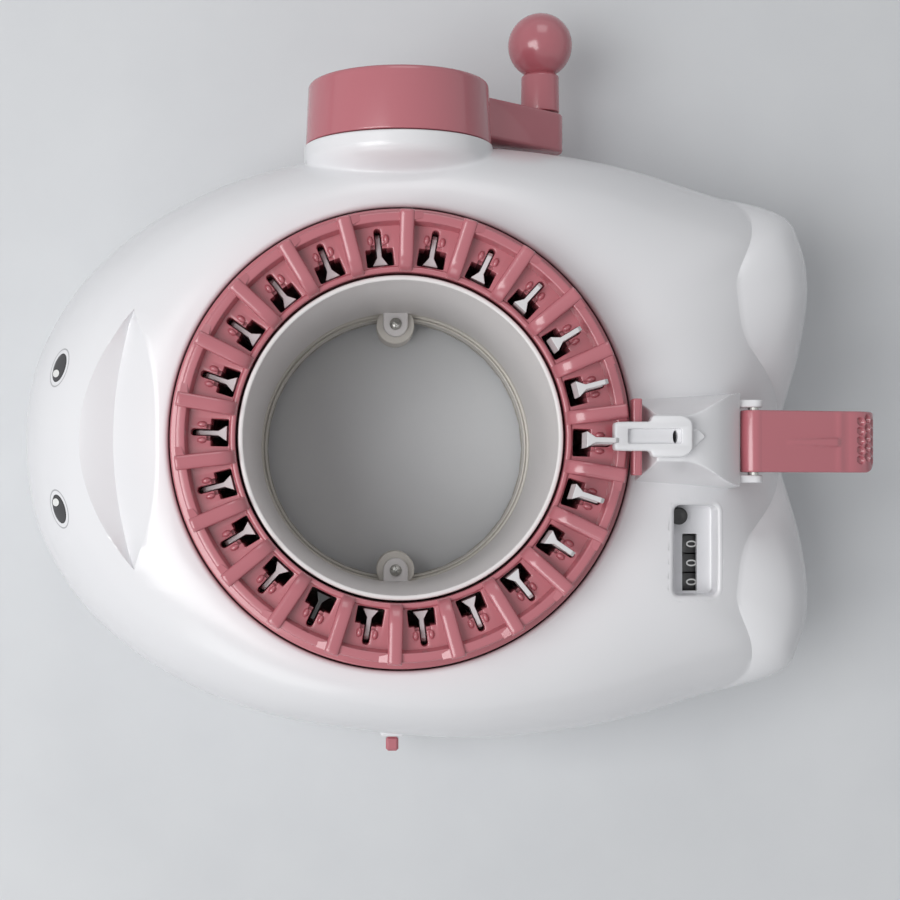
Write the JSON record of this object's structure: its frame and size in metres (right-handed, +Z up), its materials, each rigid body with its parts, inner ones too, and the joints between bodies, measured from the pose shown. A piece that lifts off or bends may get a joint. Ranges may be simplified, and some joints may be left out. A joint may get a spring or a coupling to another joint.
{
  "type": "circular knitting machine",
  "caption": "Whale-shaped hand-cranked circular knitting machine with hooked needles in a turning ring, yarn feeder, row counter and tension arm.",
  "frame": {"origin": "centre of the bounding box's bottom face, on the table", "axes": "+Z up along the needle ring's axis, +X from the head towards the tail, +Y towards the crank"},
  "size_m": [0.2474, 0.2314, 0.1281],
  "materials": {
    "white_plastic": "satin moulded ABS",
    "pink_plastic": "satin moulded ABS",
    "grey_plastic": "matt moulded",
    "natural_plastic": "natural acetal",
    "black_plastic": "satin",
    "steel": "zinc plated",
    "rubber": "matt"
  },
  "bodies": {
    "frame": {"upper_shell": "white_plastic", "lower_shell": "white_plastic", "bottom_plate": "grey_plastic", "cam_ring": "natural_plastic", "base_ring": "grey_plastic", "inner_tube": "white_plastic", "gear_housing": "white_plastic", "shaft_bush": "natural_plastic", "feeder_bracket": "white_plastic", "yarn_feeder": "white_plastic", "needle_guard": "pink_plastic", "arm_pin": "steel", "counter_housing": "white_plastic", "counter_axle": "steel", "switch_plate": "white_plastic", "rubber_foot_1": "rubber", "rubber_foot_2": "rubber", "rubber_foot_3": "rubber", "rubber_foot_4": "rubber", "base_screw_1": "steel", "base_screw_2": "steel", "base_screw_3": "steel", "tube_screw_1": "steel", "tube_screw_2": "steel"},
    "ring": {"needle_cylinder": "pink_plastic", "crown_gear": "natural_plastic"},
    "crank_body": {"crank": "pink_plastic", "crank_shaft": "steel", "crank_cap": "steel", "drive_pinion": "natural_plastic", "knob_pin": "steel"},
    "knob_body": {"crank_knob": "pink_plastic"},
    "arm_body": {"tension_arm": "pink_plastic"},
    "button_body": {"reset_button": "black_plastic"},
    "switch_body": {"switch_knob": "pink_plastic"},
    "counter_wheel_units_body": {"counter_wheel_units": "black_plastic"},
    "counter_wheel_tens_body": {"counter_wheel_tens": "black_plastic"},
    "counter_wheel_hundreds_body": {"counter_wheel_hundreds": "black_plastic"},
    "needle_01_body": {"needle_01": "white_plastic"},
    "needle_02_body": {"needle_02": "white_plastic"},
    "needle_03_body": {"needle_03": "white_plastic"},
    "needle_04_body": {"needle_04": "white_plastic"},
    "needle_05_body": {"needle_05": "white_plastic"},
    "needle_06_body": {"needle_06": "white_plastic"},
    "needle_07_body": {"needle_07": "white_plastic"},
    "needle_08_body": {"needle_08": "white_plastic"},
    "needle_09_body": {"needle_09": "white_plastic"},
    "needle_10_body": {"needle_10": "white_plastic"},
    "needle_11_body": {"needle_11": "white_plastic"},
    "needle_12_body": {"needle_12": "white_plastic"},
    "needle_13_body": {"needle_13": "white_plastic"},
    "needle_14_body": {"needle_14": "white_plastic"},
    "needle_15_body": {"needle_15": "white_plastic"},
    "needle_16_body": {"needle_16": "black_plastic"},
    "needle_17_body": {"needle_17": "white_plastic"},
    "needle_18_body": {"needle_18": "white_plastic"},
    "needle_19_body": {"needle_19": "white_plastic"},
    "needle_20_body": {"needle_20": "white_plastic"},
    "needle_21_body": {"needle_21": "white_plastic"},
    "needle_22_body": {"needle_22": "white_plastic"}
  },
  "joints": [
    {"name": "ring_turn", "type": "hinge", "parent": "frame", "child": "ring", "pos_m": [-0.01062, -0.01925, 0.11], "axis": [0, 0, 1], "continuous": true},
    {"name": "crank_turn", "type": "hinge", "parent": "frame", "child": "crank_body", "pos_m": [-0.01062, 0.07575, 0.0715], "axis": [0, 1, 0], "continuous": true},
    {"name": "knob_spin", "type": "hinge", "parent": "crank_body", "child": "knob_body", "pos_m": [0.03429, 0.08435, 0.03641], "axis": [0, 1, 0], "continuous": true},
    {"name": "tension_arm_hinge", "type": "hinge", "parent": "frame", "child": "arm_body", "pos_m": [0.08758, -0.02, 0.096], "axis": [0, -1, 0], "range_deg": [-8, 35]},
    {"name": "reset_press", "type": "slide", "parent": "frame", "child": "button_body", "axis": [0, 0, -1], "range_m": [0, 0.0013], "stiffness_N_per_m": 300, "springref_m": -0.0002},
    {"name": "mode_slide", "type": "slide", "parent": "frame", "child": "switch_body", "axis": [0, 0, -1], "range_m": [0, 0.006]},
    {"name": "counter_wheel_units_turn", "type": "hinge", "parent": "frame", "child": "counter_wheel_units_body", "pos_m": [0.07308, -0.05445, 0.07065], "axis": [0, 1, 0], "continuous": true},
    {"name": "counter_wheel_tens_turn", "type": "hinge", "parent": "frame", "child": "counter_wheel_tens_body", "pos_m": [0.07308, -0.05445, 0.07065], "axis": [0, 1, 0], "continuous": true},
    {"name": "counter_wheel_hundreds_turn", "type": "hinge", "parent": "frame", "child": "counter_wheel_hundreds_body", "pos_m": [0.07308, -0.05445, 0.07065], "axis": [0, 1, 0], "continuous": true},
    {"name": "needle_01_slide", "type": "slide", "parent": "ring", "child": "needle_01_body", "axis": [0, 0, 1], "range_m": [-0.02806, 0.00094]},
    {"name": "needle_02_slide", "type": "slide", "parent": "ring", "child": "needle_02_body", "axis": [0, 0, 1], "range_m": [-0.02093, 0.00807]},
    {"name": "needle_03_slide", "type": "slide", "parent": "ring", "child": "needle_03_body", "axis": [0, 0, 1], "range_m": [-0.01353, 0.01547]},
    {"name": "needle_04_slide", "type": "slide", "parent": "ring", "child": "needle_04_body", "axis": [0, 0, 1], "range_m": [-0.00773, 0.02127]},
    {"name": "needle_05_slide", "type": "slide", "parent": "ring", "child": "needle_05_body", "axis": [0, 0, 1], "range_m": [-0.00354, 0.02546]},
    {"name": "needle_06_slide", "type": "slide", "parent": "ring", "child": "needle_06_body", "axis": [0, 0, 1], "range_m": [-0.00097, 0.02803]},
    {"name": "needle_07_slide", "type": "slide", "parent": "ring", "child": "needle_07_body", "axis": [0, 0, 1], "range_m": [-0.00001, 0.02899]},
    {"name": "needle_08_slide", "type": "slide", "parent": "ring", "child": "needle_08_body", "axis": [0, 0, 1], "range_m": [0, 0.029]},
    {"name": "needle_09_slide", "type": "slide", "parent": "ring", "child": "needle_09_body", "axis": [0, 0, 1], "range_m": [0, 0.029]},
    {"name": "needle_10_slide", "type": "slide", "parent": "ring", "child": "needle_10_body", "axis": [0, 0, 1], "range_m": [0, 0.029]},
    {"name": "needle_11_slide", "type": "slide", "parent": "ring", "child": "needle_11_body", "axis": [0, 0, 1], "range_m": [0, 0.029]},
    {"name": "needle_12_slide", "type": "slide", "parent": "ring", "child": "needle_12_body", "axis": [0, 0, 1], "range_m": [0, 0.029]},
    {"name": "needle_13_slide", "type": "slide", "parent": "ring", "child": "needle_13_body", "axis": [0, 0, 1], "range_m": [0, 0.029]},
    {"name": "needle_14_slide", "type": "slide", "parent": "ring", "child": "needle_14_body", "axis": [0, 0, 1], "range_m": [0, 0.029]},
    {"name": "needle_15_slide", "type": "slide", "parent": "ring", "child": "needle_15_body", "axis": [0, 0, 1], "range_m": [0, 0.029]},
    {"name": "needle_16_slide", "type": "slide", "parent": "ring", "child": "needle_16_body", "axis": [0, 0, 1], "range_m": [0, 0.029]},
    {"name": "needle_17_slide", "type": "slide", "parent": "ring", "child": "needle_17_body", "axis": [0, 0, 1], "range_m": [0, 0.029]},
    {"name": "needle_18_slide", "type": "slide", "parent": "ring", "child": "needle_18_body", "axis": [0, 0, 1], "range_m": [-0.00066, 0.02834]},
    {"name": "needle_19_slide", "type": "slide", "parent": "ring", "child": "needle_19_body", "axis": [0, 0, 1], "range_m": [-0.00291, 0.02609]},
    {"name": "needle_20_slide", "type": "slide", "parent": "ring", "child": "needle_20_body", "axis": [0, 0, 1], "range_m": [-0.00679, 0.02221]},
    {"name": "needle_21_slide", "type": "slide", "parent": "ring", "child": "needle_21_body", "axis": [0, 0, 1], "range_m": [-0.01227, 0.01673]},
    {"name": "needle_22_slide", "type": "slide", "parent": "ring", "child": "needle_22_body", "axis": [0, 0, 1], "range_m": [-0.01936, 0.00964]}
  ],
  "couplings": [
    {"joint": "crank_turn", "follows": "ring_turn", "ratio": -5},
    {"joint": "counter_wheel_units_turn", "follows": "ring_turn", "ratio": 0.1},
    {"joint": "counter_wheel_tens_turn", "follows": "ring_turn", "ratio": 0.01},
    {"joint": "counter_wheel_hundreds_turn", "follows": "ring_turn", "ratio": 0.001}
  ]
}
